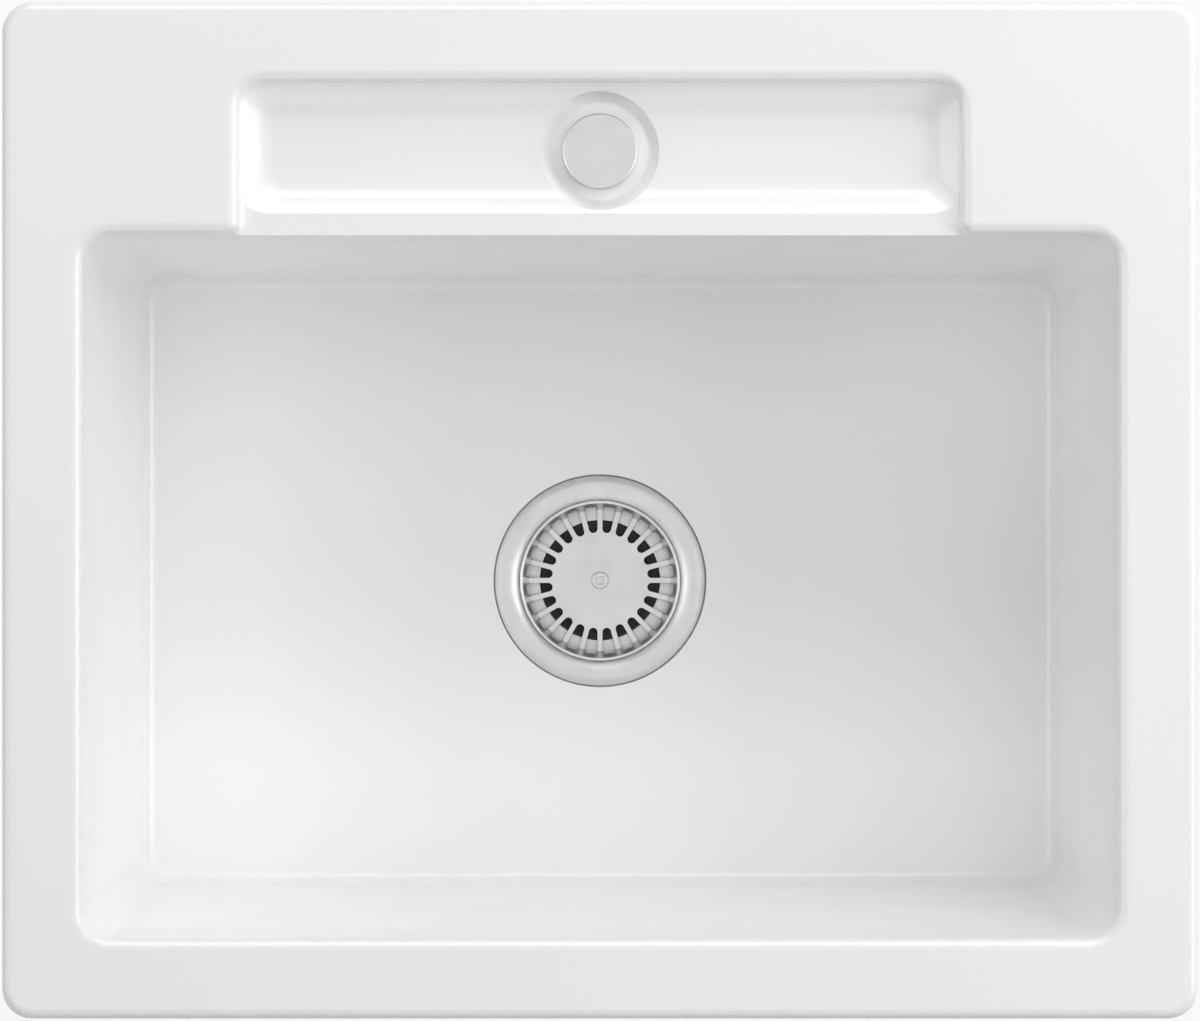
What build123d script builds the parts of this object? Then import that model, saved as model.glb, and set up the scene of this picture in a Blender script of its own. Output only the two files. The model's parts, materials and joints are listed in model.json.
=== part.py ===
"""Inset kitchen sink: a one-piece fireclay basin with a tap ledge, a basket strainer
waste and a rotary control that lifts the strainer.

Millimetres. X runs to the right, Y to the back, Z up. The origin is the middle of the
worktop cut-out, level with the worktop, so the rim lies above Z = 0 and the rest below.
"""

from build123d import *
from math import asin, cos, radians, sin, tan
import os

os.makedirs("parts", exist_ok=True)

# Basin sizes
sink_width = 600.0
sink_breadth = 510.0
rim_height = 12.0
rim_corner = 15.0
rim_rounding = 5.5
border = 40.0
bowl_depth = 200.0
bowl_draft = 4.0
bowl_corner = 15.0
floor_fillet = 9.0
lip_rounding = 6.0
wall = 11.0
floor_thickness = 12.0

# Tap ledge sizes
ledge_width = 362.0
dam_drop = 9.5
tray_drop = 19.0
tray_breadth = 65.5
dam_width = 10.5
dam_slope_run = 12.0
dam_back_rounding = 2.0
dam_foot_rounding = 3.0
tray_corner = 13.0
tray_wall_run = 11.0
tray_wall_margin = 1.0
tray_foot_corner = 8.0
tray_foot_rounding = 16.0
ledge_shell_rounding = 9.0
tray_front_corner = 18.6
tray_front_flare = 3.6
dish_dam_gap = 1.7
dish_wall_run = 5.0
dish_depth = 3.5
dish_foot_radius = 3.0
ledge_hole_gap = 1.0
knob_back = 33.8

# Waste flange sizes
waste_hole_radius = 45.0
recess_depth = 3.0
recess_gap = 0.6
flange_width = 12.0
flange_sheet = 1.2
flange_ridge_rise = 1.8
flange_ridge_inset = 5.5
flange_shoulder_share = 0.75
cup_clearance = 0.4
cup_sheet = 0.8
cup_mouth = 1.5
flange_edge = 0.6
seat_drop = 20.0
seat_sheet = 1.0
seat_width = 11.2
spider_drop = 33.0
spider_sheet = 2.0
spider_arm = 7.0
spider_hub_radius = 10.5
gasket_margin = 1.5

# Waste body sizes
body_gasket_height = 3.0
body_clearance = 2.0
body_wall = 3.0
body_flange_width = 11.0
body_flange_height = 4.0
body_gap = 4.0
cone_height = 11.0
outlet_radius = 23.9
outlet_wall = 3.9
outlet_length = 26.0
boss_radius = 12.0
boss_gap = 1.0
boss_height = 16.0
rib_width = 5.0
rib_height = 11.0
insert_radius = 8.5
insert_height = 10.0
side_boss_radius = 11.0
side_boss_stub = 6.0

# Lifting gear sizes
lift = 8.0
bolt_radius = 6.0
bolt_head_flats = 17.0
bolt_head_height = 4.5
bolt_end = 1.0
bolt_spider_clearance = 0.15
pin_radius = 3.0
pin_clearance = 0.06
pin_socket_depth = 6.0
pin_socket_clearance = 0.3
foot_radius = 5.0
foot_height = 3.0
foot_clearance = 1.0
crank_arm = 25.0
crank_hub_radius = 8.0
crank_tip_radius = 4.0
crank_tip_gap = 0.05
crank_width = 8.0
crank_arm_height = 5.2
shaft_radius = 4.0
shaft_clearance = 0.05
gland_radius = 7.0
gland_length = 12.0
gland_flats = 20.0
gland_head_height = 5.0
o_ring_thickness = 2.6
bracket_sheet = 2.0
bracket_ear_x = 40.0
bracket_edge = 11.0
bracket_ear_reach = 20.0
lever_length = 28.0
lever_thickness = 5.0
lever_gap = 1.0
lever_end_radius = 5.0
lever_pin_radius = 2.0
lever_pin_head_radius = 3.5
lever_pin_head_height = 1.5
inlet_radius = 3.5
inlet_bore_radius = 1.3
inlet_length = 22.0
inlet_collar_radius = 5.5
inlet_collar_length = 2.0

# Strainer and stopper sizes
basket_drop = 14.0
basket_sheet = 0.8
basket_clearance = 0.5
basket_rim_width = 1.4
basket_upper_flare = 1.9
basket_lower_flare = 1.6
basket_wall_rise = 4.6
basket_rim_drop = 3.0
basket_rim_sheet = 1.0
slot_count = 24
slot_start = 26.3
bar_width = 2.75
post_width = 4.2
basket_screw_radius = 2.5
basket_screw_head_radius = 4.7
basket_screw_head_height = 1.6
basket_screw_gap = 1.0
basket_screw_square = 3.9
basket_screw_square_depth = 1.0
plug_hub_radius = 8.0
plug_disc_inset = 4.3
plug_disc_height = 2.5
plug_clearance = 1.0
seal_height = 3.0
seal_gap = 0.3
seal_lip_height = 1.0
seal_lip_width = 3.0
seal_washer_inset = 8.3
seal_washer_height = 1.0
spacer_wall = 3.0

# Control sizes
sleeve_gasket_height = 1.2
sleeve_flange_height = 1.8
sleeve_radius = 12.0
sleeve_tail = 2.0
ledge_washer_radius = 22.0
ledge_washer_height = 3.0
backing_washer_radius = 21.0
backing_washer_height = 2.0
sleeve_nut_flats = 36.0
sleeve_nut_height = 8.0
ledge_land_thickness = 11.0
boss_margin = 4.0
knob_radius = 18.8
knob_height = 10.0
knob_skirt_gap = 0.6
knob_running_gap = 0.3
knob_inside_gap = 0.8
knob_skirt_wall = 2.0
knob_chamfer = 0.7
knob_cap = 2.4
grub_radius = 1.6
grub_length = 10.0
spindle_radius = 5.0
spindle_clearance = 0.05
spindle_flat = 0.5
housing_collar_height = 4.0
housing_collar_wall = 5.0
housing_nut_gap = 1.5
housing_radius = 27.0
housing_wall = 2.5
housing_top = 3.0
housing_depth = 24.0
housing_ear_radius = 4.5
housing_ear_stub = 2.0
housing_ear_height = 10.0
housing_inlet_stub = 5.0
housing_inlet_half = 6.5
drum_side_gap = 3.5
drum_height = 9.0
drum_top_gap = 4.0
drum_groove_depth = 1.6
clip_radius = 8.0
clip_height = 1.2
spindle_tail = 1.5
cover_sheet = 2.5
cover_screw_count = 3
cover_screw_radius = 1.5
cover_screw_length = 9.0
cover_screw_head_radius = 3.0
cover_screw_head_height = 2.0

# Basin levels and lines
bowl_width = sink_width - 2 * border
bowl_front = border - sink_breadth / 2
ledge_back = sink_breadth / 2 - border
bowl_back = ledge_back - tray_breadth - dam_width
bowl_breadth = bowl_back - bowl_front
bowl_y = (bowl_front + bowl_back) / 2
floor_z = rim_height - bowl_depth
underside_z = floor_z - floor_thickness
dam_z = rim_height - dam_drop
tray_z = rim_height - tray_drop
dam_back = bowl_back + dam_width
tray_front = dam_back + dam_slope_run
slope_per_rise = dam_slope_run / (tray_drop - dam_drop)
tray_wall_z = dam_z - tray_wall_margin
step_end = dam_back + tray_front_corner
knob_y = ledge_back - knob_back
dish_radius = tray_breadth - knob_back - dish_dam_gap
dish_land_radius = dish_radius - dish_wall_run
ledge_hole_radius = sleeve_radius + ledge_hole_gap
land_z = tray_z - dish_depth
ledge_underside_z = land_z - ledge_land_thickness
flange_radius = waste_hole_radius + flange_width
recess_radius = flange_radius + recess_gap

# Waste levels
gasket_height = recess_depth - flange_sheet
cup_radius = waste_hole_radius - cup_clearance
cup_bore_radius = cup_radius - cup_sheet
flange_ridge_radius = flange_radius - flange_ridge_inset
outer_shoulder_radius = (flange_ridge_radius + flange_radius - flange_edge) / 2
inner_shoulder_radius = (flange_ridge_radius + cup_bore_radius + cup_mouth) / 2
shoulder_z = floor_z + flange_shoulder_share * flange_ridge_rise
seat_z = floor_z - seat_drop
neck_radius = cup_bore_radius - seat_width
neck_outer_radius = neck_radius + seat_sheet
spider_z = floor_z - spider_drop
spider_under_z = spider_z - spider_sheet
body_top_z = underside_z - body_gasket_height
body_radius = waste_hole_radius + body_clearance
body_flange_radius = body_radius + body_flange_width
outlet_bore_radius = outlet_radius - outlet_wall
side_boss_reach = body_radius + body_wall + side_boss_stub
boss_top_z = spider_under_z - boss_gap
boss_under_z = boss_top_z - boss_height
bolt_end_z = boss_under_z - bolt_end
foot_top_z = bolt_end_z - lift - foot_clearance
foot_under_z = foot_top_z - foot_height
crank_z = foot_under_z - crank_tip_gap - crank_tip_radius + lift / 2
crank_tilt = asin(lift / 2 / crank_arm)
body_floor_z = crank_z - crank_hub_radius - body_gap
cone_end_z = body_floor_z - cone_height
outlet_z = cone_end_z - outlet_length

# Strainer levels
basket_z = floor_z - basket_drop
basket_under_z = basket_z - basket_sheet
basket_rim_radius = cup_bore_radius - basket_clearance
basket_top_radius = basket_rim_radius - basket_rim_width
basket_wall_radius = basket_top_radius - basket_upper_flare
basket_floor_radius = basket_wall_radius - basket_lower_flare
plug_under_z = spider_z + bolt_head_height + plug_clearance
plug_disc_z = plug_under_z + plug_disc_height
seal_top_z = plug_disc_z + seal_height
washer_top_z = seal_top_z + seal_washer_height
pin_top_z = plug_under_z + pin_socket_depth
basket_screw_end_z = pin_top_z + basket_screw_gap
spacer_radius = plug_hub_radius + spacer_wall
seal_radius = neck_radius - seal_gap
plug_disc_radius = seal_radius - plug_disc_inset
seal_washer_radius = seal_radius - seal_washer_inset

# Control levels
sleeve_flange_radius = knob_radius - knob_skirt_wall - knob_inside_gap
housing_ear_reach = housing_radius + housing_ear_stub
housing_inlet_x = housing_radius + housing_inlet_stub
drum_radius = housing_radius - housing_wall - drum_side_gap
sleeve_seat_z = land_z + sleeve_gasket_height
sleeve_top_z = sleeve_seat_z + sleeve_flange_height
washer_under_z = ledge_underside_z - ledge_washer_height
backing_under_z = washer_under_z - backing_washer_height
nut_under_z = backing_under_z - sleeve_nut_height
collar_top_z = nut_under_z - housing_nut_gap
housing_top_z = collar_top_z - housing_collar_height
housing_inner_z = housing_top_z - housing_top
housing_under_z = housing_top_z - housing_depth
sleeve_end_z = housing_inner_z - sleeve_tail
drum_top_z = housing_inner_z - drum_top_gap
drum_under_z = drum_top_z - drum_height
drum_mid_z = (drum_top_z + drum_under_z) / 2
clip_under_z = drum_under_z - clip_height
spindle_end_z = clip_under_z - spindle_tail
cover_under_z = housing_under_z - cover_sheet
knob_under_z = land_z + knob_skirt_gap
knob_inside_z = sleeve_top_z + knob_running_gap
knob_top_z = land_z + knob_height
spindle_top_z = knob_top_z - knob_cap
grub_z = (knob_inside_z + spindle_top_z) / 2
drum_pull_radius = drum_radius - drum_groove_depth / 2

# Shared planes and axes
waste_axis = Axis((0, bowl_y, 0), (0, 0, 1))
waste_section = Plane(origin=(0, bowl_y, 0), x_dir=(1, 0, 0), z_dir=(0, -1, 0))
knob_axis = Axis((0, knob_y, 0), (0, 0, 1))
knob_section = Plane(origin=(0, knob_y, 0), x_dir=(1, 0, 0), z_dir=(0, -1, 0))
crank_y_reach = bowl_y + side_boss_reach
gland_face_y = crank_y_reach + bracket_sheet
lever_y = gland_face_y + gland_head_height + lever_gap
lever_mid_y = lever_y + lever_thickness / 2
lever_end_z = crank_z + lever_length * cos(crank_tilt)
bracket_x = -crank_arm - bracket_ear_x


def waste_plane(z):
    """Horizontal plane on the waste's axis."""
    return Plane((0, bowl_y, z))


def knob_plane(z):
    """Horizontal plane on the control's axis."""
    return Plane((0, knob_y, z))


def shaft_plane(y, tilt):
    """Upright plane on the crank shaft's axis, facing the front, its X along the crank."""
    return Plane(
        origin=(-crank_arm, y, crank_z),
        x_dir=(cos(tilt), 0, -sin(tilt)),
        z_dir=(0, -1, 0),
    )


def ring(plane, inner, outer, height):
    """Flat ring that rises from a plane, such as a washer or gasket."""
    with BuildPart() as made:
        with BuildSketch(plane):
            Circle(outer)
            Circle(inner, mode=Mode.SUBTRACT)
        extrude(amount=height)
    return made


def save(made, name):
    """Label a sub-part and write it."""
    made.part.label = name
    export_step(made.part, f"parts/{name}.step")


def bowl_form(top_z, bottom_z, width, breadth, corner, foot):
    """Rectangular form that narrows downwards, with rounded corners and foot."""
    with BuildPart() as made:
        with BuildSketch(waste_plane(top_z)):
            Rectangle(width, breadth)
        extrude(amount=bottom_z - top_z)
        sides = made.faces().filter_by(Axis.Z, reverse=True)
        draft(sides, waste_plane(top_z), -bowl_draft)
        fillet(made.edges().group_by(Axis.Z)[1], corner)
        fillet(made.faces().sort_by(Axis.Z)[0].edges(), foot)
    return made


def tray_outline(height, inset, corner):
    """Plan of the tray at a height: square-sided, with front corners that run into the side walls."""
    front = tray_front - slope_per_rise * (height - tray_z)
    back = ledge_back - inset
    width = ledge_width - 2 * inset
    with Locations((0, (front + back) / 2)):
        Rectangle(width + 2 * tray_front_flare, back - front)
    fillet(vertices().group_by(Axis.Y)[0], tray_front_corner)
    with Locations((0, (front + back) / 2)):
        Rectangle(width, back - front, mode=Mode.INTERSECT)
    fillet(vertices().group_by(Axis.Y)[-1], corner)


# Hollows of the basin
bowl_hollow = bowl_form(
    rim_height, floor_z, bowl_width, bowl_breadth, bowl_corner, floor_fillet
)

with BuildPart() as step_hollow:
    with BuildSketch(Plane((0, (bowl_y + step_end) / 2, dam_z))):
        Rectangle(ledge_width, step_end - bowl_y)
    extrude(amount=dam_drop)

# The tray's sides lean outwards at the foot and stand upright above
with BuildPart() as tray_hollow:
    with BuildSketch(Plane((0, 0, tray_z))):
        tray_outline(tray_z, tray_wall_run, tray_foot_corner)
    with BuildSketch(Plane((0, 0, tray_wall_z))):
        tray_outline(tray_wall_z, 0, tray_corner)
    with BuildSketch(Plane((0, 0, rim_height))):
        tray_outline(rim_height, 0, tray_corner)
    loft(ruled=True)
    fillet(tray_hollow.faces().sort_by(Axis.Z)[0].edges(), tray_foot_rounding)

with BuildPart() as dish_hollow:
    with BuildSketch(knob_section):
        with BuildLine():
            FilletPolyline(
                (0, land_z),
                (dish_land_radius, land_z),
                (dish_radius, tray_z),
                (dish_radius, rim_height),
                (0, rim_height),
                radius=(0, dish_foot_radius, 0, 0, 0),
                close=True,
            )
        make_face()
    revolve(axis=knob_axis)

# Outside of the basin below the rim
bowl_shell = bowl_form(
    rim_height / 2,
    underside_z,
    bowl_width + 2 * wall,
    bowl_breadth + 2 * wall,
    bowl_corner + wall,
    floor_fillet + wall,
)

with BuildPart() as ledge_shell:
    with BuildSketch(Plane((0, (bowl_y + ledge_back + wall) / 2, rim_height / 2))):
        Rectangle(ledge_width + 2 * wall, ledge_back + wall - bowl_y)
        fillet(vertices().group_by(Axis.Y)[-1], tray_corner + wall)
    extrude(amount=tray_z - wall - rim_height / 2)
    fillet(ledge_shell.faces().sort_by(Axis.Z)[0].edges().sort_by(Axis.Y)[1:], ledge_shell_rounding)

# Basin
with BuildPart() as sink_basin:
    with BuildSketch():
        RectangleRounded(sink_width, sink_breadth, rim_corner)
    extrude(amount=rim_height)
    fillet(sink_basin.faces().sort_by(Axis.Z)[-1].edges(), rim_rounding)
    add(bowl_shell.part)
    add(ledge_shell.part)
    with BuildSketch(knob_plane(ledge_underside_z)):
        Circle(dish_radius + boss_margin)
    extrude(amount=tray_z - ledge_underside_z)
    add(bowl_hollow.part, mode=Mode.SUBTRACT)
    add(step_hollow.part, mode=Mode.SUBTRACT)
    add(tray_hollow.part, mode=Mode.SUBTRACT)
    # The dam's back edge, which curves into the side walls at both ends
    dam_edges = sink_basin.edges().filter_by_position(Axis.Z, dam_z, dam_z)
    fillet(dam_edges.filter_by_position(Axis.Y, dam_back, step_end), dam_back_rounding)
    # The lip: the whole edge of the hollows, down over both ends of the dam
    top_face = sink_basin.faces().filter_by(Plane.XY).sort_by(Axis.Z)[-1]
    lip = list(top_face.inner_wires()[0].edges())
    corners = sink_basin.edges().filter_by_position(Axis.Y, bowl_back - lip_rounding, bowl_back)
    lip += corners.filter_by_position(Axis.Z, dam_z, rim_height - 1)
    fillet(lip, lip_rounding)
    # The foot of the side walls on the dam
    dam_edges = sink_basin.edges().filter_by_position(Axis.Z, dam_z, dam_z).group_by(Axis.X)
    fillet(dam_edges[0] + dam_edges[-1], dam_foot_rounding)
    add(dish_hollow.part, mode=Mode.SUBTRACT)
    with BuildSketch(knob_plane(land_z)):
        Circle(ledge_hole_radius)
    extrude(amount=-ledge_land_thickness, mode=Mode.SUBTRACT)
    with BuildSketch(waste_plane(floor_z)):
        Circle(recess_radius)
    extrude(amount=-recess_depth, mode=Mode.SUBTRACT)
    with BuildSketch(waste_plane(floor_z)):
        Circle(waste_hole_radius)
    extrude(amount=-floor_thickness, mode=Mode.SUBTRACT)
save(sink_basin, "sink_basin")

# Waste flange: flange, cup, seat, neck and the spider that the bolt pulls on
with BuildPart() as waste_flange:
    with BuildSketch(waste_section):
        Polygon(
            (flange_radius, floor_z - flange_sheet),
            (flange_radius, floor_z - flange_edge),
            (flange_radius - flange_edge, floor_z),
            (outer_shoulder_radius, shoulder_z),
            (flange_ridge_radius, floor_z + flange_ridge_rise),
            (inner_shoulder_radius, shoulder_z),
            (cup_bore_radius + cup_mouth, floor_z),
            (cup_bore_radius, floor_z - cup_mouth),
            (cup_bore_radius, seat_z),
            (neck_radius, seat_z),
            (neck_radius, spider_z),
            (bolt_radius + bolt_spider_clearance, spider_z),
            (bolt_radius + bolt_spider_clearance, spider_under_z),
            (neck_outer_radius, spider_under_z),
            (neck_outer_radius, seat_z - seat_sheet),
            (cup_radius, seat_z - seat_sheet),
            (cup_radius, floor_z - flange_sheet),
            align=None,
        )
    revolve(axis=waste_axis)
    with BuildSketch(waste_plane(spider_z)):
        Circle(neck_radius - seat_sheet)
        Circle(spider_hub_radius, mode=Mode.SUBTRACT)
        with PolarLocations(0, 2, angular_range=180):
            Rectangle(2 * neck_radius, spider_arm, mode=Mode.SUBTRACT)
    extrude(amount=-spider_sheet, mode=Mode.SUBTRACT)
save(waste_flange, "waste_flange")

flange_gasket = ring(
    waste_plane(floor_z - recess_depth),
    waste_hole_radius + gasket_margin,
    flange_radius - gasket_margin,
    gasket_height,
)
save(flange_gasket, "flange_gasket")

body_gasket = ring(
    waste_plane(body_top_z),
    body_radius + gasket_margin,
    body_flange_radius - gasket_margin,
    body_gasket_height,
)
save(body_gasket, "body_gasket")

# Waste body: cup, outlet, ribbed boss for the bolt and side boss for the shaft
with BuildPart() as waste_body:
    with BuildSketch(waste_section):
        Polygon(
            (0, body_top_z),
            (body_flange_radius, body_top_z),
            (body_flange_radius, body_top_z - body_flange_height),
            (body_radius + body_wall, body_top_z - body_flange_height),
            (body_radius + body_wall, body_floor_z),
            (outlet_radius, cone_end_z),
            (outlet_radius, outlet_z),
            (0, outlet_z),
            align=None,
        )
    revolve(axis=waste_axis)
    with BuildSketch(shaft_plane(crank_y_reach, 0)):
        Circle(side_boss_radius)
    extrude(amount=side_boss_reach)
    with BuildSketch(waste_section):
        Polygon(
            (0, body_top_z),
            (body_radius, body_top_z),
            (body_radius, body_floor_z + body_wall),
            (outlet_bore_radius, cone_end_z + body_wall),
            (outlet_bore_radius, outlet_z),
            (0, outlet_z),
            align=None,
        )
    revolve(axis=waste_axis, mode=Mode.SUBTRACT)
    with BuildSketch(waste_plane(boss_under_z)):
        Circle(boss_radius)
    extrude(amount=boss_height)
    with BuildSketch(waste_plane(boss_under_z)):
        with PolarLocations((body_radius + body_wall / 2) / 2, 3, start_angle=30):
            Rectangle(body_radius + body_wall / 2, rib_width)
    extrude(amount=rib_height)
    with BuildSketch(waste_plane(boss_top_z)):
        Circle(bolt_radius + bolt_spider_clearance)
    extrude(amount=-boss_height, mode=Mode.SUBTRACT)
    with BuildSketch(waste_plane(boss_under_z)):
        RegularPolygon(insert_radius, 6)
    extrude(amount=insert_height, mode=Mode.SUBTRACT)
    with BuildSketch(shaft_plane(crank_y_reach, 0)):
        Circle(gland_radius)
    extrude(amount=gland_length + o_ring_thickness, mode=Mode.SUBTRACT)
    with BuildSketch(shaft_plane(crank_y_reach, 0)):
        Circle(shaft_radius + pin_socket_clearance)
    extrude(amount=side_boss_reach - boss_radius, mode=Mode.SUBTRACT)
save(waste_body, "waste_body")

with BuildPart() as boss_insert:
    with BuildSketch(waste_plane(boss_under_z)):
        RegularPolygon(insert_radius, 6)
        Circle(bolt_radius, mode=Mode.SUBTRACT)
    extrude(amount=insert_height)
save(boss_insert, "boss_insert")

# Hollow bolt that clamps the flange to the body and guides the lift pin
with BuildPart() as clamp_bolt:
    with BuildSketch(waste_plane(spider_z)):
        RegularPolygon(bolt_head_flats / 2, 6, major_radius=False)
    extrude(amount=bolt_head_height)
    with BuildSketch(waste_plane(spider_z)):
        Circle(bolt_radius)
    extrude(amount=bolt_end_z - spider_z)
    with BuildSketch(waste_plane(bolt_end_z)):
        Circle(pin_radius + pin_clearance)
    extrude(amount=spider_z + bolt_head_height - bolt_end_z, mode=Mode.SUBTRACT)
save(clamp_bolt, "clamp_bolt")

with BuildPart() as lift_pin:
    with BuildSketch(waste_plane(foot_under_z)):
        Circle(foot_radius)
    extrude(amount=foot_height)
    with BuildSketch(waste_plane(foot_under_z)):
        Circle(pin_radius)
    extrude(amount=pin_top_z - foot_under_z)
    chamfer(lift_pin.faces().sort_by(Axis.Z)[-1].edges(), pin_radius / 4)
save(lift_pin, "lift_pin")

# Crank shaft: the arm lies under the pin's foot, the shaft leaves through the side boss
with BuildPart() as crank_shaft:
    with BuildSketch(shaft_plane(bowl_y, crank_tilt)):
        Circle(crank_hub_radius)
        with Locations((crank_arm, 0)):
            Circle(crank_tip_radius)
        with Locations((crank_arm / 2, 0)):
            Rectangle(crank_arm, crank_arm_height)
    extrude(amount=crank_width / 2, both=True)
    with BuildSketch(shaft_plane(lever_y + lever_thickness, crank_tilt)):
        Circle(shaft_radius)
    extrude(amount=lever_y + lever_thickness - bowl_y)
    with BuildSketch(shaft_plane(lever_y + lever_thickness, crank_tilt)):
        Circle(shaft_radius / 2)
    extrude(amount=2 * lever_thickness, mode=Mode.SUBTRACT)
save(crank_shaft, "crank_shaft")

with BuildPart() as shaft_gland:
    with BuildSketch(shaft_plane(gland_face_y, 0)):
        Circle(gland_radius)
    extrude(amount=gland_length + bracket_sheet)
    with BuildSketch(shaft_plane(gland_face_y, 0)):
        RegularPolygon(gland_flats / 2, 6, major_radius=False)
    extrude(amount=-gland_head_height)
    with BuildSketch(shaft_plane(gland_face_y + gland_head_height, 0)):
        Circle(shaft_radius + shaft_clearance)
    extrude(amount=gland_head_height + bracket_sheet + gland_length, mode=Mode.SUBTRACT)
save(shaft_gland, "shaft_gland")

with BuildPart() as shaft_o_ring:
    with BuildSketch(shaft_plane(crank_y_reach - gland_length - o_ring_thickness, 0)):
        Circle(gland_radius)
        Circle(shaft_radius + pin_socket_clearance, mode=Mode.SUBTRACT)
    extrude(amount=-o_ring_thickness)
    chamfer(shaft_o_ring.edges(), o_ring_thickness / 3)
save(shaft_o_ring, "shaft_o_ring")

# Bracket held under the gland's head; its ear carries the lower cable inlet
with BuildPart() as cable_bracket:
    with BuildSketch(Plane((0, crank_y_reach, 0), x_dir=(1, 0, 0), z_dir=(0, 1, 0))):
        with Locations((-crank_arm, -crank_z)):
            Circle(bracket_edge)
        with Locations((bracket_x + bracket_sheet / 2, -lever_end_z)):
            Rectangle(bracket_sheet, 2 * bracket_edge)
        make_hull()
        with Locations((-crank_arm, -crank_z)):
            Circle(gland_radius, mode=Mode.SUBTRACT)
    extrude(amount=bracket_sheet)
    with BuildSketch(Plane((bracket_x, 0, 0), x_dir=(0, 1, 0), z_dir=(1, 0, 0))):
        with Locations((crank_y_reach + bracket_ear_reach / 2, lever_end_z)):
            Rectangle(bracket_ear_reach, 2 * bracket_edge)
        with Locations((lever_mid_y, lever_end_z)):
            Circle(inlet_radius, mode=Mode.SUBTRACT)
    extrude(amount=bracket_sheet)
save(cable_bracket, "cable_bracket")


def cable_inlet(collar_plane):
    """Bush where a cable enters: a collar on a plane, with its tube on both sides."""
    with BuildPart() as made:
        with BuildSketch(collar_plane):
            Circle(inlet_collar_radius)
        extrude(amount=inlet_collar_length)
        with BuildSketch(collar_plane):
            Circle(inlet_radius)
        extrude(amount=inlet_length / 2, both=True)
        with BuildSketch(collar_plane):
            Circle(inlet_bore_radius)
        extrude(amount=inlet_length, both=True, mode=Mode.SUBTRACT)
    return made


lower_cable_inlet = cable_inlet(
    Plane((bracket_x, lever_mid_y, lever_end_z), x_dir=(0, 1, 0), z_dir=(-1, 0, 0))
)
save(lower_cable_inlet, "lower_cable_inlet")

with BuildPart() as outer_lever:
    with BuildSketch(shaft_plane(lever_y, crank_tilt)):
        Circle(crank_hub_radius)
        with Locations((0, lever_length)):
            Circle(lever_end_radius)
        make_hull()
        Circle(shaft_radius, mode=Mode.SUBTRACT)
        with Locations((0, lever_length)):
            Circle(lever_pin_radius, mode=Mode.SUBTRACT)
    extrude(amount=-lever_thickness)
save(outer_lever, "outer_lever")

with BuildPart() as lever_pin:
    with BuildSketch(shaft_plane(lever_y + lever_thickness, crank_tilt)):
        with Locations((0, lever_length)):
            Circle(lever_pin_head_radius)
    extrude(amount=-lever_pin_head_height)
    with BuildSketch(shaft_plane(lever_y + lever_thickness, crank_tilt)):
        with Locations((0, lever_length)):
            Circle(lever_pin_radius)
    extrude(amount=lever_thickness)
save(lever_pin, "lever_pin")

with BuildPart() as lever_screw:
    with BuildSketch(shaft_plane(lever_y + lever_thickness, crank_tilt)):
        Circle(shaft_radius + lever_pin_head_height)
    extrude(amount=-lever_pin_head_height)
    with BuildSketch(shaft_plane(lever_y + lever_thickness, crank_tilt)):
        Circle(shaft_radius / 2)
    extrude(amount=2 * lever_thickness)
save(lever_screw, "lever_screw")

# Strainer basket: flat slotted floor, slotted lower wall, plain upper wall and rim
half_pitch = 180 / slot_count
wall_slot = 2 * basket_wall_radius * tan(radians(half_pitch)) - post_width


def slot_half(radius):
    """Half the width of a floor slot between two parallel-sided bars."""
    return radius * tan(radians(half_pitch)) - bar_width / 2 / cos(radians(half_pitch))


slot_end_radius = slot_half(slot_start)
slot_centre = slot_start + slot_end_radius
slot_wall_top = basket_z + basket_wall_rise

with BuildPart() as strainer_basket:
    with BuildSketch(waste_section):
        Polygon(
            (basket_screw_radius, basket_z),
            (basket_floor_radius, basket_z),
            (basket_wall_radius, slot_wall_top),
            (basket_top_radius, floor_z - basket_rim_drop - basket_rim_sheet / 2),
            (basket_rim_radius, floor_z - basket_rim_drop),
            (basket_rim_radius, floor_z - basket_rim_drop - basket_rim_sheet),
            (basket_top_radius + basket_sheet, floor_z - basket_rim_drop - 2 * basket_rim_sheet),
            (basket_wall_radius + basket_sheet, slot_wall_top),
            (basket_floor_radius + basket_sheet, basket_under_z),
            (basket_screw_radius, basket_under_z),
            align=None,
        )
    revolve(axis=waste_axis)
    with BuildSketch(waste_plane(basket_under_z)):
        with PolarLocations(0, slot_count, start_angle=half_pitch):
            Polygon(
                (slot_centre, -slot_half(slot_centre)),
                (basket_floor_radius, -slot_half(basket_floor_radius)),
                (basket_floor_radius, slot_half(basket_floor_radius)),
                (slot_centre, slot_half(slot_centre)),
                align=None,
            )
        with PolarLocations(slot_centre, slot_count, start_angle=half_pitch):
            Circle(slot_half(slot_centre))
    extrude(amount=2 * basket_sheet, mode=Mode.SUBTRACT)
    with BuildSketch(waste_plane(basket_under_z)):
        with PolarLocations(basket_floor_radius, slot_count, start_angle=half_pitch):
            Rectangle(2 * (basket_rim_radius - basket_floor_radius), wall_slot)
    extrude(amount=slot_wall_top - basket_under_z, mode=Mode.SUBTRACT)
save(strainer_basket, "strainer_basket")

with BuildPart() as basket_screw:
    with BuildSketch(waste_plane(basket_z)):
        Circle(basket_screw_head_radius)
    extrude(amount=basket_screw_head_height)
    chamfer(basket_screw.faces().sort_by(Axis.Z)[-1].edges(), basket_screw_head_height / 3)
    with BuildSketch(waste_plane(basket_z + basket_screw_head_height)):
        Rectangle(basket_screw_square, basket_screw_square)
    extrude(amount=-basket_screw_square_depth, mode=Mode.SUBTRACT)
    with BuildSketch(waste_plane(basket_z)):
        Circle(basket_screw_radius)
    extrude(amount=basket_screw_end_z - basket_z)
save(basket_screw, "basket_screw")

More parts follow.
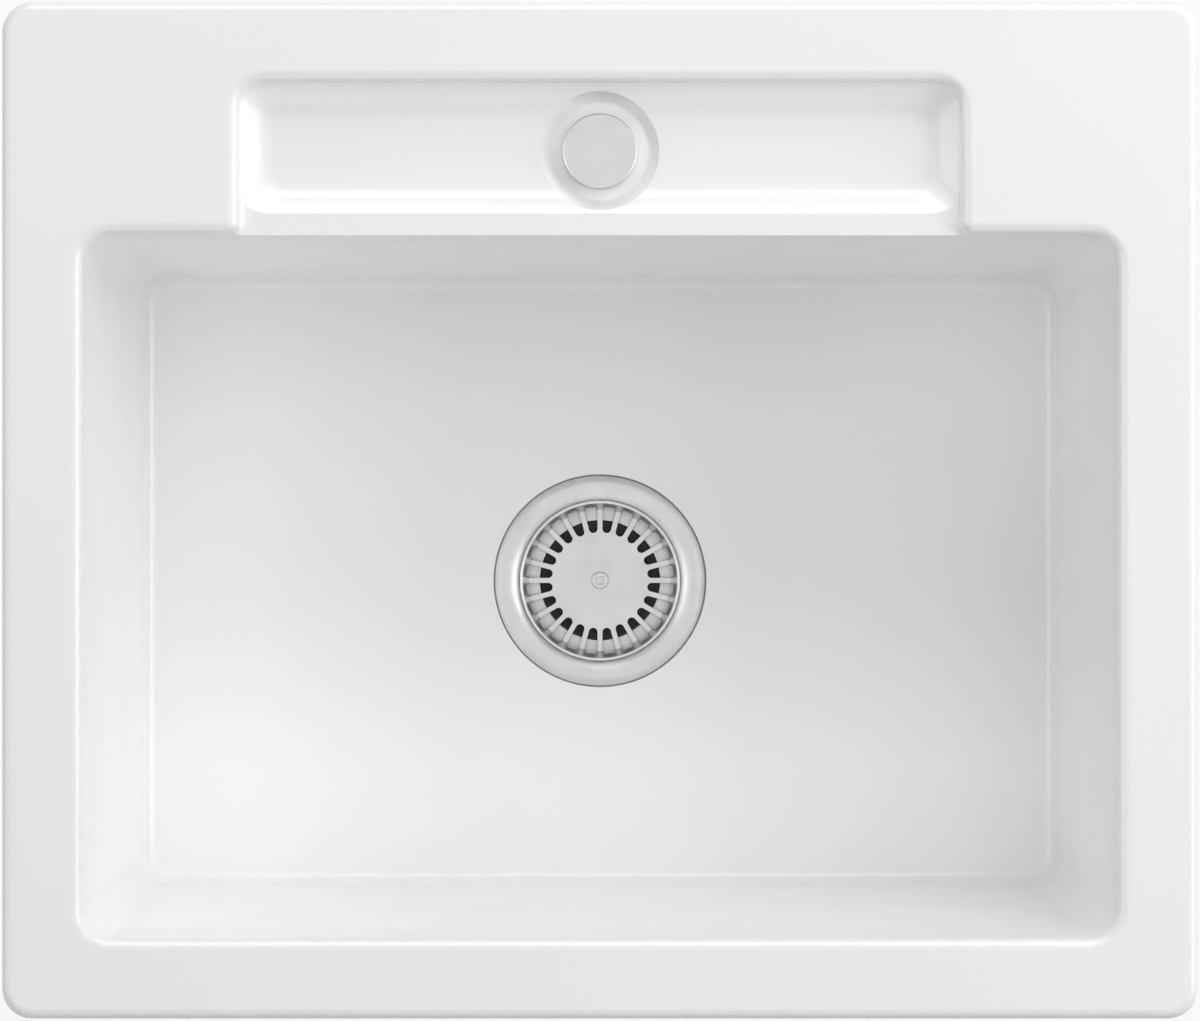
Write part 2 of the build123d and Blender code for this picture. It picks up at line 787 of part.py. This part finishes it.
with BuildPart() as stopper_plug:
    with BuildSketch(waste_plane(plug_under_z)):
        Circle(plug_disc_radius)
    extrude(amount=plug_disc_height)
    with BuildSketch(waste_plane(plug_under_z)):
        Circle(plug_hub_radius)
    extrude(amount=basket_under_z - plug_under_z)
    with BuildSketch(waste_plane(plug_under_z)):
        Circle(pin_radius + pin_socket_clearance)
    extrude(amount=pin_socket_depth, mode=Mode.SUBTRACT)
    with BuildSketch(waste_plane(basket_under_z)):
        Circle(basket_screw_radius)
    extrude(amount=basket_screw_end_z - basket_under_z, mode=Mode.SUBTRACT)
save(stopper_plug, "stopper_plug")

with BuildPart() as stopper_seal:
    with BuildSketch(waste_section):
        Polygon(
            (plug_hub_radius, plug_disc_z),
            (seal_radius, plug_disc_z),
            (seal_radius, seal_top_z + seal_lip_height),
            (seal_radius - seal_lip_width / 2, seal_top_z + seal_lip_height),
            (seal_radius - seal_lip_width, seal_top_z),
            (plug_hub_radius, seal_top_z),
            align=None,
        )
    revolve(axis=waste_axis)
save(stopper_seal, "stopper_seal")

seal_washer = ring(
    waste_plane(seal_top_z), plug_hub_radius, seal_washer_radius, seal_washer_height
)
save(seal_washer, "seal_washer")

spacer_sleeve = ring(
    waste_plane(washer_top_z), plug_hub_radius, spacer_radius, basket_under_z - washer_top_z
)
save(spacer_sleeve, "spacer_sleeve")

# Control: sleeve through the ledge, clamped by a nut from below
sleeve_gasket = ring(
    knob_plane(land_z), ledge_hole_radius, sleeve_flange_radius, sleeve_gasket_height
)
save(sleeve_gasket, "sleeve_gasket")

with BuildPart() as knob_sleeve:
    with BuildSketch(knob_plane(sleeve_seat_z)):
        Circle(sleeve_flange_radius)
    extrude(amount=sleeve_flange_height)
    with BuildSketch(knob_plane(sleeve_seat_z)):
        Circle(sleeve_radius)
    extrude(amount=sleeve_end_z - sleeve_seat_z)
    with BuildSketch(knob_plane(sleeve_end_z)):
        Circle(spindle_radius + spindle_clearance)
    extrude(amount=sleeve_top_z - sleeve_end_z, mode=Mode.SUBTRACT)
save(knob_sleeve, "knob_sleeve")

ledge_washer = ring(
    knob_plane(washer_under_z), sleeve_radius, ledge_washer_radius, ledge_washer_height
)
save(ledge_washer, "ledge_washer")

backing_washer = ring(
    knob_plane(backing_under_z), sleeve_radius, backing_washer_radius, backing_washer_height
)
save(backing_washer, "backing_washer")

with BuildPart() as sleeve_nut:
    with BuildSketch(knob_plane(nut_under_z)):
        RegularPolygon(sleeve_nut_flats / 2, 6, major_radius=False)
        Circle(sleeve_radius, mode=Mode.SUBTRACT)
    extrude(amount=sleeve_nut_height)
save(sleeve_nut, "sleeve_nut")

# Drum housing: screwed on the sleeve's end, open below, with a cable inlet at the back
with BuildPart() as drum_housing:
    with BuildSketch(knob_plane(housing_under_z)):
        Circle(housing_radius)
    extrude(amount=housing_depth)
    with BuildSketch(knob_plane(housing_top_z)):
        Circle(sleeve_radius + housing_collar_wall)
    extrude(amount=housing_collar_height)
    with BuildSketch(knob_plane(housing_under_z)):
        with PolarLocations(housing_ear_reach, cover_screw_count, start_angle=90):
            Circle(housing_ear_radius)
    extrude(amount=housing_ear_height)
    with BuildSketch(Plane((-housing_inlet_x, knob_y, 0), x_dir=(0, 1, 0), z_dir=(1, 0, 0))):
        with Locations((drum_pull_radius, drum_mid_z)):
            Rectangle(2 * housing_inlet_half, 2 * housing_inlet_half)
    extrude(amount=housing_inlet_x)
    with BuildSketch(knob_plane(housing_under_z)):
        Circle(housing_radius - housing_wall)
    extrude(amount=housing_inner_z - housing_under_z, mode=Mode.SUBTRACT)
    with BuildSketch(knob_plane(collar_top_z)):
        Circle(sleeve_radius)
    extrude(amount=housing_inner_z - collar_top_z, mode=Mode.SUBTRACT)
    with BuildSketch(knob_plane(housing_under_z)):
        with PolarLocations(housing_ear_reach, cover_screw_count, start_angle=90):
            Circle(cover_screw_radius)
    extrude(amount=cover_screw_length - cover_sheet, mode=Mode.SUBTRACT)
    with BuildSketch(Plane((-housing_inlet_x, knob_y, 0), x_dir=(0, 1, 0), z_dir=(1, 0, 0))):
        with Locations((drum_pull_radius, drum_mid_z)):
            Circle(inlet_radius)
    extrude(amount=housing_inlet_x / 2, mode=Mode.SUBTRACT)
save(drum_housing, "drum_housing")

with BuildPart() as drum_cover:
    with BuildSketch(knob_plane(cover_under_z)):
        Circle(housing_radius)
        with PolarLocations(housing_ear_reach, cover_screw_count, start_angle=90):
            Circle(housing_ear_radius)
        with PolarLocations(housing_ear_reach, cover_screw_count, start_angle=90):
            Circle(cover_screw_radius, mode=Mode.SUBTRACT)
    extrude(amount=cover_sheet)
save(drum_cover, "drum_cover")

with BuildPart() as cover_screws:
    with BuildSketch(knob_plane(cover_under_z)):
        with PolarLocations(housing_ear_reach, cover_screw_count, start_angle=90):
            Circle(cover_screw_head_radius)
    extrude(amount=-cover_screw_head_height)
    with BuildSketch(knob_plane(cover_under_z)):
        with PolarLocations(housing_ear_reach, cover_screw_count, start_angle=90):
            Circle(cover_screw_radius)
    extrude(amount=cover_screw_length)
save(cover_screws, "cover_screws")

upper_cable_inlet = cable_inlet(
    Plane(
        (-housing_inlet_x, knob_y + drum_pull_radius, drum_mid_z),
        x_dir=(0, 1, 0),
        z_dir=(-1, 0, 0),
    )
)
save(upper_cable_inlet, "upper_cable_inlet")

with BuildPart() as knob_spindle:
    with BuildSketch(knob_plane(spindle_end_z)):
        Circle(spindle_radius)
    extrude(amount=spindle_top_z - spindle_end_z)
    with BuildSketch(knob_plane(spindle_top_z)):
        with Locations((0, 2 * spindle_radius - spindle_flat)):
            Rectangle(2 * spindle_radius, 2 * spindle_radius)
    extrude(amount=knob_inside_z - spindle_top_z, mode=Mode.SUBTRACT)
save(knob_spindle, "knob_spindle")

with BuildPart() as control_knob:
    with BuildSketch(knob_plane(knob_under_z)):
        Circle(knob_radius)
    extrude(amount=knob_top_z - knob_under_z)
    chamfer(control_knob.faces().sort_by(Axis.Z)[-1].edges(), knob_chamfer)
    with BuildSketch(knob_plane(knob_under_z)):
        Circle(sleeve_flange_radius + knob_inside_gap)
    extrude(amount=knob_inside_z - knob_under_z, mode=Mode.SUBTRACT)
    with BuildSketch(knob_plane(knob_inside_z)):
        Circle(spindle_radius)
    extrude(amount=spindle_top_z - knob_inside_z, mode=Mode.SUBTRACT)
    with BuildSketch(Plane((0, knob_y, grub_z), x_dir=(1, 0, 0), z_dir=(0, 1, 0))):
        Circle(grub_radius)
    extrude(amount=knob_radius, mode=Mode.SUBTRACT)
save(control_knob, "control_knob")

with BuildPart() as knob_grub_screw:
    with BuildSketch(
        Plane((0, knob_y + spindle_radius - spindle_flat, grub_z), x_dir=(1, 0, 0), z_dir=(0, 1, 0))
    ):
        Circle(grub_radius)
    extrude(amount=grub_length)
save(knob_grub_screw, "knob_grub_screw")

with BuildPart() as cable_drum:
    with BuildSketch(knob_section):
        with Locations(((spindle_radius + drum_radius) / 2, drum_mid_z)):
            Rectangle(drum_radius - spindle_radius, drum_height)
        with Locations((drum_radius, drum_mid_z)):
            RegularPolygon(drum_groove_depth, 4, mode=Mode.SUBTRACT)
    revolve(axis=knob_axis)
save(cable_drum, "cable_drum")

drum_clip = ring(knob_plane(clip_under_z), spindle_radius, clip_radius, clip_height)
save(drum_clip, "drum_clip")
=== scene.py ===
"""Looks of the inset kitchen sink: glazed fireclay, satin steel, rubber, plastic and brass.

Metres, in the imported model's frame: X to the right, Y to the back, Z up.
"""

import json
import math

import bmesh
import bpy
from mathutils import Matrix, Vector
from mathutils.bvhtree import BVHTree


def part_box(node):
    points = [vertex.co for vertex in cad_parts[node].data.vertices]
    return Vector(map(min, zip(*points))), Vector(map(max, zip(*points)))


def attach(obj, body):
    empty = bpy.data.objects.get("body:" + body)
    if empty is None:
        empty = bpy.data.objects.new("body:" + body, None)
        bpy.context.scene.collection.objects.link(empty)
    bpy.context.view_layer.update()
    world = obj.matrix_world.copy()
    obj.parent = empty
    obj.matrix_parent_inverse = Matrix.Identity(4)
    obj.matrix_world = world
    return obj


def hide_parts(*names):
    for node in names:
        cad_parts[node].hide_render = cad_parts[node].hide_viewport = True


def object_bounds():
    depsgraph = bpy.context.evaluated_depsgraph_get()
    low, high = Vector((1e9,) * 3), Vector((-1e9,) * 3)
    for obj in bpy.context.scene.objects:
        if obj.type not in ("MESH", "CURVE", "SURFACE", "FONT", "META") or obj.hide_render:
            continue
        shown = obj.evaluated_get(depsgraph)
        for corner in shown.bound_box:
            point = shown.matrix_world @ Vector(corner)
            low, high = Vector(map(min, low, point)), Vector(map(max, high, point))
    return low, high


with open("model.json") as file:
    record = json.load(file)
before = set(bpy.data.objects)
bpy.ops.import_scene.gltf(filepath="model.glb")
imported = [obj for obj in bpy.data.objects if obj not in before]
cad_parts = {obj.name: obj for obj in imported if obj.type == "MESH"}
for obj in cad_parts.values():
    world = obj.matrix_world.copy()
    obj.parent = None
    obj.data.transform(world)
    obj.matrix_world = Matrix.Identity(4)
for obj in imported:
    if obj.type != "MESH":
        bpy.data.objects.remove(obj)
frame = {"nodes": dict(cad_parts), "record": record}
cad_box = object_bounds()
nodes = frame["nodes"]

# Places that the looks are worked out from
waste_low, waste_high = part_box("waste_flange")
waste_centre = (waste_low + waste_high) / 2
knob_low, knob_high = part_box("control_knob")
knob_centre = (knob_low + knob_high) / 2
rim_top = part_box("sink_basin")[1].z

# Nodes that a piece of this scene stands for
remade_nodes = ("sink_basin", "waste_body")

# Camera of the photograph: straight above the middle
camera_height = 2.5
camera_lens = 149.75
camera_reach = 100.0
sensor_width = 36.0

# Lamps: place, width, power in watts, and whether metal mirrors the lamp
lamps = {
    "top": ((0.0, 0.0, 3.2), 3.0, 28.5, False),
    "key": ((1.5, 1.3, 1.9), 1.6, 21.0, False),
    "right": ((2.3, 0.0, 1.1), 1.6, 23.0, True),
    "back": ((0.0, 2.3, 1.1), 1.6, 23.5, True),
    "left": ((-2.3, 0.0, 1.1), 1.6, 15.0, True),
    "front": ((0.0, -2.3, 1.1), 1.6, 10.0, True),
}

# Strength of the white surroundings: as light, and to the eye or in a mirror
world_light = 0.02
world_seen = 1.0

# Floor, just below the lowest piece
floor_gap = 0.0005
floor_reach = 15
floor_colour = (0.85, 0.85, 0.85, 1)
floor_roughness = 0.9
floor_glow = 0.85

# Part of the range from 0 to 1 that a noise pattern mostly keeps to
noise_low = 0.3
noise_high = 0.7

# Joined faces, and edges that catch the light
weld_distance = 1e-6
flat_angle = math.radians(0.3)
sharp_angle = math.radians(35)
edge_segments = 2
basin_edge = 0.0008
piece_edge = 0.0003
thin_edge_share = 0.1

# Distance from a face at which the look up to the sky starts
sky_clearance = 0.0005

# Thread of the waste outlet: eleven turns to the inch
thread_pitch = 0.0254 / 11
thread_depth = 0.00055
thread_fade = 0.003
thread_steps = 8
wall_tolerance = 1e-5
mm_per_metre = 1000


def principled(name, metallic=0.0):
    """New material: itself, its node tree and its shader."""
    made = bpy.data.materials.new(name)
    made.use_nodes = True
    tree = made.node_tree
    shader = tree.nodes["Principled BSDF"]
    shader.inputs["Metallic"].default_value = metallic
    return made, tree, shader


def place(tree):
    """Place on the piece, in metres."""
    return tree.nodes.new("ShaderNodeTexCoord").outputs["Object"]


def noise(tree, scale, detail=2.0):
    """Cloudy variation with about that many features per metre."""
    node = tree.nodes.new("ShaderNodeTexNoise")
    node.inputs["Scale"].default_value = scale
    node.inputs["Detail"].default_value = detail
    tree.links.new(place(tree), node.inputs["Vector"])
    return node.outputs["Fac"]


def rings(tree, centre, scale, detail=3.0):
    """Fine circles about an upright axis, as turning or spinning leaves them."""
    offset = tree.nodes.new("ShaderNodeVectorMath")
    offset.operation = "SUBTRACT"
    offset.inputs[1].default_value = centre
    flat = tree.nodes.new("ShaderNodeVectorMath")
    flat.operation = "MULTIPLY"
    flat.inputs[1].default_value = (1, 1, 0)
    radius = tree.nodes.new("ShaderNodeVectorMath")
    radius.operation = "LENGTH"
    node = tree.nodes.new("ShaderNodeTexNoise")
    node.noise_dimensions = "1D"
    node.inputs["Scale"].default_value = scale
    node.inputs["Detail"].default_value = detail
    tree.links.new(place(tree), offset.inputs[0])
    tree.links.new(offset.outputs["Vector"], flat.inputs[0])
    tree.links.new(flat.outputs["Vector"], radius.inputs[0])
    tree.links.new(radius.outputs["Value"], node.inputs["W"])
    return node.outputs["Fac"]


def tint(tree, shader, pattern, dark, light):
    """Let the base colour drift between two colours."""
    node = tree.nodes.new("ShaderNodeValToRGB")
    ends = ((noise_low, dark), (noise_high, light))
    for element, (position, colour) in zip(node.color_ramp.elements, ends):
        element.position = position
        element.color = (*colour, 1)
    tree.links.new(pattern, node.inputs["Fac"])
    tree.links.new(node.outputs["Color"], shader.inputs["Base Color"])


def gloss(tree, shader, pattern, low, high):
    """Let the roughness drift between two values."""
    node = tree.nodes.new("ShaderNodeMapRange")
    node.inputs["From Min"].default_value = noise_low
    node.inputs["From Max"].default_value = noise_high
    node.inputs["To Min"].default_value = low
    node.inputs["To Max"].default_value = high
    tree.links.new(pattern, node.inputs["Value"])
    tree.links.new(node.outputs["Result"], shader.inputs["Roughness"])


def relief(tree, shader, pattern, height, strength):
    """Add bumps of that height in metres to those that the shader already has."""
    node = tree.nodes.new("ShaderNodeBump")
    node.inputs["Strength"].default_value = strength
    node.inputs["Distance"].default_value = height
    tree.links.new(pattern, node.inputs["Height"])
    for link in shader.inputs["Normal"].links:
        tree.links.new(link.from_socket, node.inputs["Normal"])
    tree.links.new(node.outputs["Normal"], shader.inputs["Normal"])


def glaze():
    """White glaze: slow waves, a faint orange peel and a slight drift of tone."""
    made, tree, shader = principled("glaze")
    tint(tree, shader, noise(tree, scale=7), dark=(0.95, 0.95, 0.945), light=(0.965, 0.965, 0.96))
    gloss(tree, shader, noise(tree, scale=30), low=0.15, high=0.18)
    relief(tree, shader, noise(tree, scale=14), height=0.0001, strength=0.03)
    relief(tree, shader, noise(tree, scale=420), height=0.00001, strength=0.5)
    return made


def biscuit():
    """Unglazed fireclay of the underside: dull, grainy and slightly warm."""
    made, tree, shader = principled("biscuit")
    clouds = noise(tree, scale=90, detail=6)
    tint(tree, shader, clouds, dark=(0.725, 0.7, 0.655), light=(0.75, 0.73, 0.68))
    gloss(tree, shader, noise(tree, scale=300), low=0.75, high=0.92)
    relief(tree, shader, noise(tree, scale=1200, detail=4), height=0.0003, strength=0.6)
    relief(tree, shader, noise(tree, scale=40), height=0.0006, strength=0.2)
    return made


def steel(name, centre=None):
    """Satin stainless steel; with a centre, spun about the upright axis there."""
    made, tree, shader = principled(name, metallic=1.0)
    clouds = noise(tree, scale=60, detail=4)
    tint(tree, shader, clouds, dark=(0.61, 0.605, 0.595), light=(0.67, 0.665, 0.655))
    gloss(tree, shader, noise(tree, scale=700, detail=4), low=0.33, high=0.42)
    relief(tree, shader, noise(tree, scale=2600, detail=3), height=0.000006, strength=0.5)
    if centre is not None:
        relief(tree, shader, rings(tree, centre, scale=3500), height=0.000004, strength=0.6)
    return made


def rubber():
    """Black rubber with a dull bloom."""
    made, tree, shader = principled("rubber")
    clouds = noise(tree, scale=160, detail=5)
    tint(tree, shader, clouds, dark=(0.018, 0.018, 0.019), light=(0.04, 0.04, 0.041))
    gloss(tree, shader, noise(tree, scale=500), low=0.55, high=0.75)
    relief(tree, shader, noise(tree, scale=1500, detail=3), height=0.00004, strength=0.5)
    return made


def plastic(name, dark, light):
    """Moulded plastic with a fine eroded texture and faint flow marks."""
    made, tree, shader = principled(name)
    tint(tree, shader, noise(tree, scale=45, detail=4), dark, light)
    gloss(tree, shader, noise(tree, scale=220), low=0.36, high=0.5)
    relief(tree, shader, noise(tree, scale=2200), height=0.00002, strength=0.5)
    relief(tree, shader, noise(tree, scale=25), height=0.0003, strength=0.2)
    return made


def brass(centre):
    """Turned brass with a little tarnish."""
    made, tree, shader = principled("brass", metallic=1.0)
    clouds = noise(tree, scale=120, detail=5)
    tint(tree, shader, clouds, dark=(0.62, 0.45, 0.2), light=(0.76, 0.6, 0.31))
    gloss(tree, shader, noise(tree, scale=400, detail=4), low=0.22, high=0.38)
    relief(tree, shader, rings(tree, centre, scale=2500), height=0.000008, strength=0.6)
    return made


def soften(piece, width):
    """Weld a piece's faces, round its edges and keep its flats flat."""
    weld = piece.modifiers.new("weld", "WELD")
    weld.merge_threshold = weld_distance
    flats = piece.modifiers.new("flats", "DECIMATE")
    flats.decimate_type = "DISSOLVE"
    flats.angle_limit = flat_angle
    edges = piece.modifiers.new("edges", "BEVEL")
    edges.width = width
    edges.segments = edge_segments
    edges.limit_method = "ANGLE"
    edges.angle_limit = sharp_angle
    shade = piece.modifiers.new("shade", "WEIGHTED_NORMAL")
    shade.keep_sharp = False


def welded(node):
    """Form of a node with its faces joined."""
    form = bmesh.new()
    form.from_mesh(nodes[node].data)
    bmesh.ops.remove_doubles(form, verts=form.verts, dist=weld_distance)
    form.normal_update()
    return form


def stand_for(node, name, form, materials, edge):
    """Finish a form as the piece that replaces a node of the sink's fixed body."""
    for face in form.faces:
        face.smooth = True
    mesh = bpy.data.meshes.new(name)
    form.to_mesh(mesh)
    form.free()
    for material in materials:
        mesh.materials.append(material)
    piece = bpy.data.objects.new(name, mesh)
    bpy.context.collection.objects.link(piece)
    soften(piece, edge)
    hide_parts(node)
    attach(piece, "sink")


def make_basin():
    """Basin with glaze on all that the sky reaches and bare fireclay below."""
    form = welded("sink_basin")
    walls = BVHTree.FromBMesh(form)
    upward = Vector((0, 0, 1))
    glazed, bare = 0, 1
    for face in form.faces:
        start = face.calc_center_median() + face.normal * sky_clearance
        hit = walls.ray_cast(start, upward)[0]
        face.material_index = glazed if hit is None else bare
    stand_for("sink_basin", "glazed_basin", form, (glaze(), biscuit()), basin_edge)


def cut_thread(form, centre, radius, length):
    """Cut a right-hand thread into an upright pipe's outer wall, fading at both ends."""

    def angle_of(corner):
        return math.atan2(corner.co.y - centre.y, corner.co.x - centre.x)

    def on_wall(corner):
        return abs((corner.co - centre).to_2d().length - radius) < wall_tolerance

    wall = [face for face in form.faces if all(on_wall(corner) for corner in face.verts)]
    corners = sorted({corner for face in wall for corner in face.verts}, key=angle_of)
    below = [corner for corner in corners if corner.co.z < centre.z]
    above = [corner for corner in corners if corner.co.z > centre.z]
    angles = [angle_of(corner) for corner in below]
    bmesh.ops.delete(form, geom=wall, context="FACES")
    count = round(length / thread_pitch * thread_steps)
    rows = [below]
    for step in range(1, count):
        height = length * step / count
        fade = min(1.0, height / thread_fade, (length - height) / thread_fade)
        row = []
        for angle in angles:
            wave = 1 - math.cos(math.tau * height / thread_pitch - angle)
            reach = radius - thread_depth * fade * wave / 2
            spot = Vector((reach * math.cos(angle), reach * math.sin(angle), height - length / 2))
            row.append(form.verts.new(centre + spot))
        rows.append(row)
    rows.append(above)
    for lower, upper in zip(rows, rows[1:]):
        for index in range(len(lower)):
            form.faces.new((lower[index - 1], lower[index], upper[index], upper[index - 1]))


def make_waste_body(material):
    """Moulded waste body with the thread of its outlet."""
    form = welded("waste_body")
    mounts = {mount["name"]: mount for mount in frame["record"]["mounts"]}
    outlet = mounts["waste_outlet"]
    radius = outlet["dims"]["r_mm"] / mm_per_metre
    length = outlet["dims"]["length_mm"] / mm_per_metre
    cut_thread(form, Vector(outlet["pos_m"]), radius, length)
    stand_for("waste_body", "threaded_waste_body", form, (material,), piece_edge)


def make_finishes():
    """Material of every slot except the basin's."""
    return {
        "stainless": steel("stainless"),
        "rubber": rubber(),
        "white_plastic": plastic("white_plastic", dark=(0.7, 0.7, 0.68), light=(0.78, 0.78, 0.76)),
        "black_plastic": plastic("black_plastic", dark=(0.02, 0.02, 0.021), light=(0.045, 0.045, 0.046)),
        "brass": brass(knob_centre),
    }


def dress_nodes(finishes):
    """Give every node that stays its slot's material, spun where that shows, and soft edges."""
    spun_waste = steel("spun_waste", waste_centre)
    spun = {
        "waste_flange": spun_waste,
        "strainer_basket": spun_waste,
        "basket_screw": spun_waste,
        "control_knob": steel("spun_knob", knob_centre),
    }
    for subpart in frame["record"]["subparts"]:
        name = subpart["node"]
        if name in remade_nodes:
            continue
        node = nodes[name]
        node.data.materials.clear()
        node.data.materials.append(spun.get(name, finishes[subpart["material_slot"]]))
        low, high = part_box(name)
        thinnest = min(high - low)
        soften(node, min(piece_edge, thinnest * thin_edge_share))


def lamp(name, spot, width, power, mirrored):
    """Square soft lamp aimed at the sink's middle.

    Metal doesn't mirror the upper lamps: the white surroundings stand in for them there.
    """
    data = bpy.data.lights.new(name, "AREA")
    data.shape = "SQUARE"
    data.size = width
    data.energy = power
    made = bpy.data.objects.new(name, data)
    made.location = spot
    made.rotation_mode = "QUATERNION"
    made.rotation_quaternion = (-spot).to_track_quat("-Z", "Y")
    made.visible_glossy = mirrored
    bpy.context.collection.objects.link(made)


def seen_or_mirrored(tree):
    """One for rays from the camera, a mirror or glass, and nothing for light on surfaces."""
    path = tree.nodes.new("ShaderNodeLightPath")
    either = path.outputs["Is Camera Ray"]
    for name in ("Is Glossy Ray", "Is Transmission Ray"):
        node = tree.nodes.new("ShaderNodeMath")
        node.operation = "MAXIMUM"
        tree.links.new(either, node.inputs[0])
        tree.links.new(path.outputs[name], node.inputs[1])
        either = node.outputs["Value"]
    return either


def make_floor():
    """Plain pale floor that looks white and keeps the shadow."""
    made, tree, shader = principled("floor")
    shader.inputs["Base Color"].default_value = floor_colour
    shader.inputs["Roughness"].default_value = floor_roughness
    glow = tree.nodes.new("ShaderNodeEmission")
    share = tree.nodes.new("ShaderNodeMath")
    share.operation = "MULTIPLY"
    share.inputs[1].default_value = floor_glow
    tree.links.new(seen_or_mirrored(tree), share.inputs[0])
    mix = tree.nodes.new("ShaderNodeMixShader")
    tree.links.new(share.outputs["Value"], mix.inputs["Fac"])
    tree.links.new(shader.outputs["BSDF"], mix.inputs[1])
    tree.links.new(glow.outputs["Emission"], mix.inputs[2])
    tree.links.new(mix.outputs["Shader"], tree.nodes["Material Output"].inputs["Surface"])
    mesh = bpy.data.meshes.new("floor")
    form = bmesh.new()
    bmesh.ops.create_grid(form, x_segments=1, y_segments=1, size=floor_reach)
    form.to_mesh(mesh)
    form.free()
    mesh.materials.append(made)
    piece = bpy.data.objects.new("floor", mesh)
    piece.location.z = cad_box[0].z - floor_gap
    bpy.context.collection.objects.link(piece)


def make_world():
    """Even white surroundings: full white to the eye, dimmer as light."""
    world = bpy.data.worlds.new("studio")
    bpy.context.scene.world = world
    world.use_nodes = True
    tree = world.node_tree
    background = tree.nodes["Background"]
    background.inputs["Color"].default_value = (1, 1, 1, 1)
    level = tree.nodes.new("ShaderNodeMapRange")
    level.inputs["To Min"].default_value = world_light
    level.inputs["To Max"].default_value = world_seen
    tree.links.new(seen_or_mirrored(tree), level.inputs["Value"])
    tree.links.new(level.outputs["Result"], background.inputs["Strength"])


def make_camera():
    """Camera of the photograph, looking straight down with the back of the sink on top."""
    data = bpy.data.cameras.new("camera")
    data.sensor_width = sensor_width
    data.lens = camera_lens
    data.clip_end = camera_reach
    made = bpy.data.objects.new("camera", data)
    made.location = (0, 0, rim_top + camera_height)
    bpy.context.collection.objects.link(made)
    bpy.context.scene.camera = made


make_basin()
slot_finishes = make_finishes()
make_waste_body(slot_finishes["white_plastic"])
dress_nodes(slot_finishes)
for lamp_name, (spot, width, power, mirrored) in lamps.items():
    lamp(lamp_name, Vector(spot), width, power, mirrored)
make_floor()
make_world()
make_camera()
bpy.context.scene.view_settings.view_transform = "Standard"
